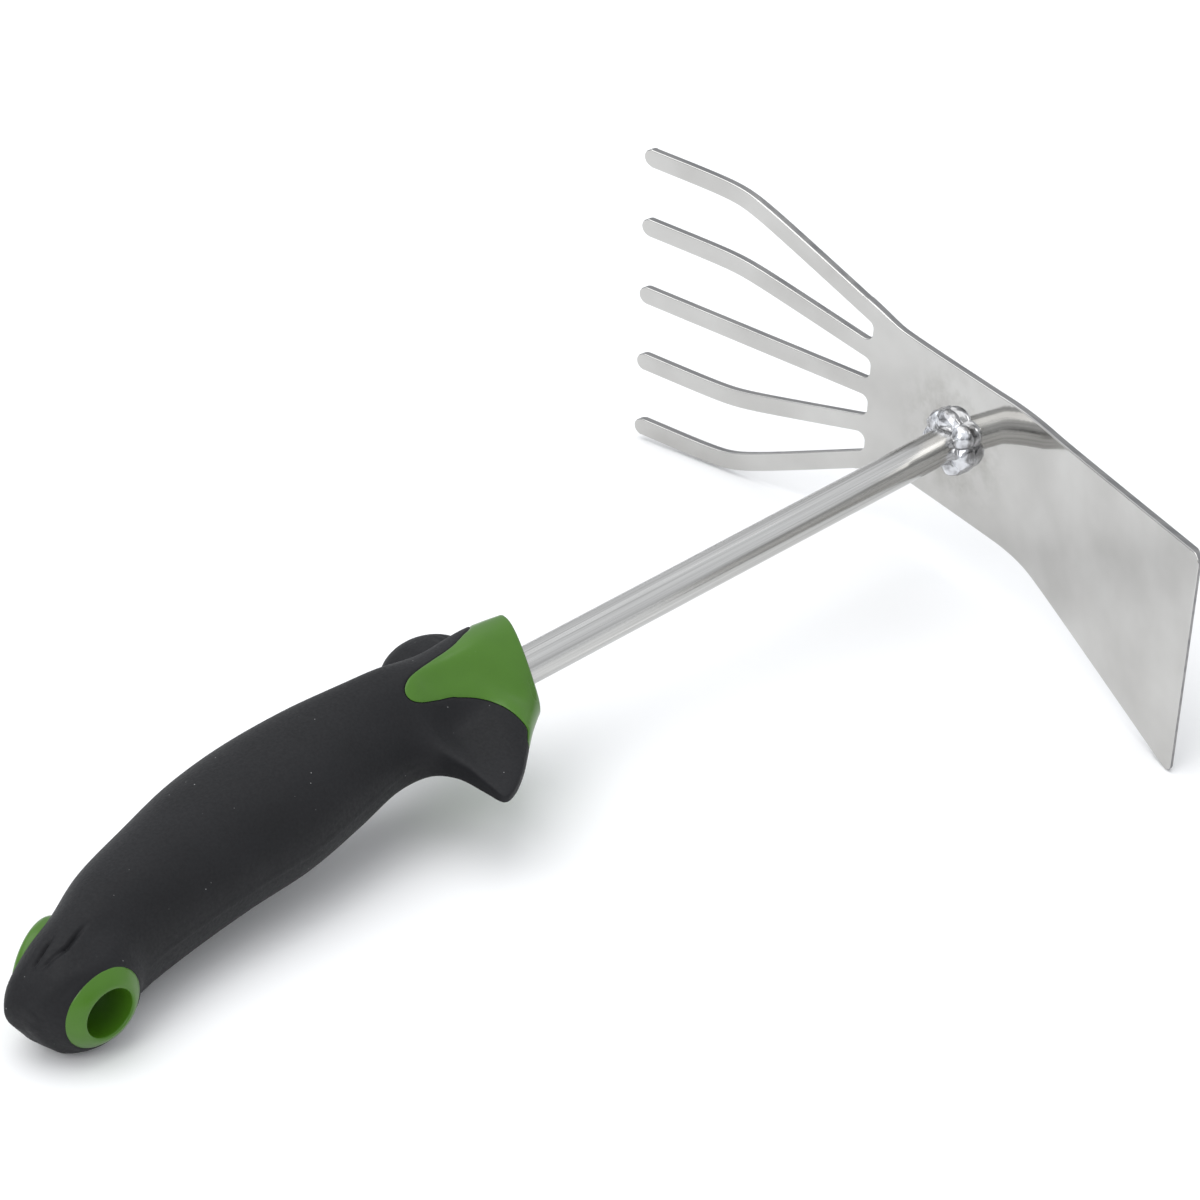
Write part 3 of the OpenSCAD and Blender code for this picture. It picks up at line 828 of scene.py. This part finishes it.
def thickened(name, bm, thickness, *materials):
    for v in bm.verts:
        v.co.x = to_root(v.co.x)
    piece = finished(name, bm, *materials)
    wall = piece.modifiers.new("wall", "SOLIDIFY")
    wall.thickness = thickness * MM
    wall.offset = -1
    wall.use_rim = True
    apply_modifiers(piece)
    return piece


# Moulding skin: the very fine grain of the mould, and pale specks of dust.
MOULDED, _in, _out = group(
    "moulded_skin",
    [("Vector", "NodeSocketVector", None), ("Grain", "NodeSocketFloat", 2500.0),
     ("Dust", "NodeSocketFloat", 0.5)],
    [("Grain", "NodeSocketFloat", None), ("Mottle", "NodeSocketFloat", None),
     ("Dust", "NodeSocketFloat", None)])
n = Nodes(MOULDED)
grain = n.noise(_in.outputs["Vector"], _in.outputs["Grain"], 3, 0.6)
mottle = n.noise(_in.outputs["Vector"], 55, 3, 0.55)
cells = n.new("TexVoronoi", feature="F1")
n.put(cells.inputs["Vector"], _in.outputs["Vector"])
cells.inputs["Scale"].default_value = 650
pick = n.new("SeparateColor")
n.put(pick.inputs[0], cells.outputs["Color"])
speck = n.math("MULTIPLY", n.span(cells.outputs["Distance"], 0.10, 0.05),
               n.math("GREATER_THAN", pick.outputs[0], 0.86))
patchy = n.span(n.noise(_in.outputs["Vector"], 70, 1), 0.45, 0.7)
dust = n.math("MULTIPLY", n.math("MULTIPLY", speck, patchy), _in.outputs["Dust"])
for label, value in (("Grain", grain), ("Mottle", mottle), ("Dust", dust)):
    n.put(_out.inputs[label], value)

# ---------------------------------------------------------------------------
# Handle core: the first shot, hard half-gloss green plastic. It shows as the
# collar with a petal on each side and as the lining of the hanging hole.
core_plastic, n, shader, where = finish_on("core_plastic", IOR=1.42)
skin_marks = n.use(MOULDED, Vector=where, Grain=1800.0, Dust=0.25)
tone = n.span(skin_marks.outputs["Mottle"], 0.3, 0.7)
colour = n.blend(tone, (0.043, 0.128, 0.006, 1), (0.056, 0.155, 0.010, 1))
n.put(shader.inputs["Base Color"], n.blend(skin_marks.outputs["Dust"], colour, (0.4, 0.45, 0.35, 1)))
n.put(shader.inputs["Roughness"], n.span(skin_marks.outputs["Mottle"], 0.3, 0.7, 0.26, 0.36))
bumped(n, shader, skin_marks.outputs["Grain"], 0.00003, 0.3)

collar = skin_part(on_collar)
press_in(collar, lambda p: edge_distance(p[:, 0], p[:, 1]), 0.3, 0.10)


# The collar's rim rolls over in steps: how far forward, and how far in, in millimetres.
RIM_ROLL = ((0.35, 0.35), (0.25, 0.5), (0.05, 0.8), (-0.3, 1.5))
ROD_GAP = 0.12


def close_front(bm):
    """Rounds the collar's rim and closes its front as far as the rod."""
    loop = [e for e in bm.edges if e.is_boundary and all(
        edge_distance(np.array([v.co.x]), np.array([v.co.y]))[0] > 0.31 for v in e.verts)]
    corners = {v for e in loop for v in e.verts}
    middle = sum(sorted(v.co.x for v in corners)) / len(corners)
    ahead = Vector((1, -0.3, 0)).normalized()
    for forward, inward in RIM_ROLL:
        made = bmesh.ops.extrude_edge_only(bm, edges=loop)["geom"]
        new = [g for g in made if isinstance(g, bmesh.types.BMVert)]
        loop = [g for g in made if isinstance(g, bmesh.types.BMEdge)]
        for v in new:
            v.co = v.co + ahead * forward + (Vector((middle, 0, 0)) - v.co).normalized() * inward
    made = bmesh.ops.extrude_edge_only(bm, edges=loop)["geom"]
    for g in made:
        if isinstance(g, bmesh.types.BMVert):
            a = math.atan2(g.co.z, g.co.y)
            radius = ROD_R + ROD_GAP
            g.co = Vector((g.co.x * 0.3 - 0.3, radius * math.cos(a), radius * math.sin(a)))
    bmesh.ops.recalc_face_normals(bm, faces=bm.faces)


close_front(collar)
collar_piece = thickened("collar_shell", collar, CORE_WALL, core_plastic)


# Profiles of the hanging hole's lining, as (radius, depth): the near mouth is coned
# and the far one rounded.
LINING_SIDES = 96
BEAD_R = HOLE_RIM / 2
near_profile = [(HOLE_R + 0.35 - 0.35 * math.cos(a), 0.5 - 0.5 * math.sin(a))
                for a in spread(0, math.pi / 2, 5)]
near_profile += [(HOLE_R + 0.35 + (HOLE_RIM - 0.35) * t, 2.2 * t ** 1.5) for t in spread(0.12, 1, 10)]
near_profile += [(HOLE_R + HOLE_RIM, 2.9), (HOLE_R + HOLE_RIM - 0.2, 6.0)]
far_profile = [(HOLE_R + HOLE_RIM - 0.2, -5.0), (HOLE_R + HOLE_RIM, -BEAD_R)]
far_profile += [(HOLE_R + BEAD_R + BEAD_R * math.cos(a), -BEAD_R + BEAD_R * math.sin(a))
                for a in spread(0, math.pi, 12)[1:]]
angles = [2 * math.pi * k / LINING_SIDES for k in range(LINING_SIDES)]


def near_point(r, h, a):
    return Vector((to_root(-HOLE_BACK) + r * math.cos(a), EYE_MOUTH + h, r * math.sin(a)))


def far_point(r, h, a):
    x, y = r * BACK_LONG * math.cos(a), h
    return Vector((to_root(BACK_SHIFT - HOLE_BACK) + x * math.cos(slant) - y * math.sin(slant),
                   EYE_BACK[0] + x * math.sin(slant) + y * math.cos(slant), r * math.sin(a)))


bm = bmesh.new()
loops = [[bm.verts.new(near_point(r, h, a)) for a in angles] for r, h in near_profile]
loops += [[bm.verts.new(far_point(r, h, a)) for a in angles] for r, h in far_profile]
for a, b in zip(loops, loops[1:] + loops[:1]):
    for k in range(LINING_SIDES):
        j = (k + 1) % LINING_SIDES
        bm.faces.new((a[k], a[j], b[j], b[k]))
bmesh.ops.recalc_face_normals(bm, faces=bm.faces)
lining = finished("eye_lining", bm, core_plastic)

for part in (collar_piece, lining):
    soften(part, 50)
with bpy.context.temp_override(active_object=collar_piece,
                               selected_editable_objects=[collar_piece, lining]):
    bpy.ops.object.join()
collar_piece.name = "handle_core_shot"
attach(collar_piece, "root")
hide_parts("handle_core")

# ---------------------------------------------------------------------------
# Rubber grip: the second shot, soft dull black rubber moulded over the core,
# with a thumb rest above, a finger guard below and three folds at the butt.
soft_rubber, n, shader, where = finish_on("soft_rubber", IOR=1.34)
skin_marks = n.use(MOULDED, Vector=where, Grain=1500.0, Dust=0.8)
tone = n.span(skin_marks.outputs["Mottle"], 0.3, 0.7)
colour = n.blend(tone, (0.0048, 0.0049, 0.0060, 1), (0.0078, 0.0080, 0.0096, 1))
n.put(shader.inputs["Base Color"], n.blend(skin_marks.outputs["Dust"], colour, (0.5, 0.5, 0.5, 1)))
n.put(shader.inputs["Roughness"], n.span(skin_marks.outputs["Grain"], 0.3, 0.7, 0.56, 0.7))
bumped(n, shader, skin_marks.outputs["Grain"], 0.00006, 0.5)

grip = skin_part(on_rubber)
press_in(grip, lambda p: edge_distance(p[:, 0], p[:, 1]), 0.4, 0.28)
press_in(grip, eye_distance, 0.5, 0.25)
grip_piece = thickened("rubber_grip_shot", grip, RUBBER_WALL, soft_rubber)
soften(grip_piece, 50)
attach(grip_piece, "root")
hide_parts("rubber_grip")

# ---------------------------------------------------------------------------
# Floor and light: a pale floor and soft light from all round, with a large
# soft light above and to the left.
floor_mesh = bpy.data.meshes.new("floor")
size = 6.0
corners = [(-size, -size, 0), (size, -size, 0), (size, size, 0), (-size, size, 0)]
floor_mesh.from_pydata(corners, [], [(0, 1, 2, 3)])
floor = bpy.data.objects.new("floor", floor_mesh)
bpy.context.scene.collection.objects.link(floor)
pale, n, shader, where = finish_on("pale_floor", Roughness=0.9)
shader.inputs["Base Color"].default_value = (0.9, 0.9, 0.9, 1)
floor.data.materials.append(pale)

world = bpy.data.worlds.new("studio")
bpy.context.scene.world = world
world.use_nodes = True
n = Nodes(world.node_tree)
way = n.new("SeparateXYZ")
n.put(way.inputs[0], n.new("TexCoord").outputs["Generated"])
up_high = n.span(way.outputs["Z"], 0.0, 0.55, smooth=True)
round_about = n.noise(n.new("TexCoord").outputs["Generated"], 2.2, 1)
dim = n.span(round_about, 0.42, 0.52, 0.22, 0.9, smooth=True)
sky = n.math("MAXIMUM", dim, up_high)
back = world.node_tree.nodes["Background"]
back.inputs["Strength"].default_value = 1.0
n.put(back.inputs["Color"], n.blend(sky, (0.0, 0.0, 0.0, 1), (0.95, 0.97, 1.0, 1)))


def soft_light(name, at, size, power, aim=(0, 0, 0.03)):
    data = bpy.data.lights.new(name, "AREA")
    data.shape = "RECTANGLE"
    data.size, data.size_y = size
    data.energy = power
    lamp = bpy.data.objects.new(name, data)
    lamp.location = at
    lamp.rotation_euler = (Vector(aim) - Vector(at)).to_track_quat("-Z", "Y").to_euler()
    bpy.context.scene.collection.objects.link(lamp)


soft_light("overhead_softbox", (-0.3, 0.3, 1.3), (1.4, 1.4), 9)
soft_light("side_softbox", (-1.2, -0.3, 0.9), (0.7, 0.7), 5)
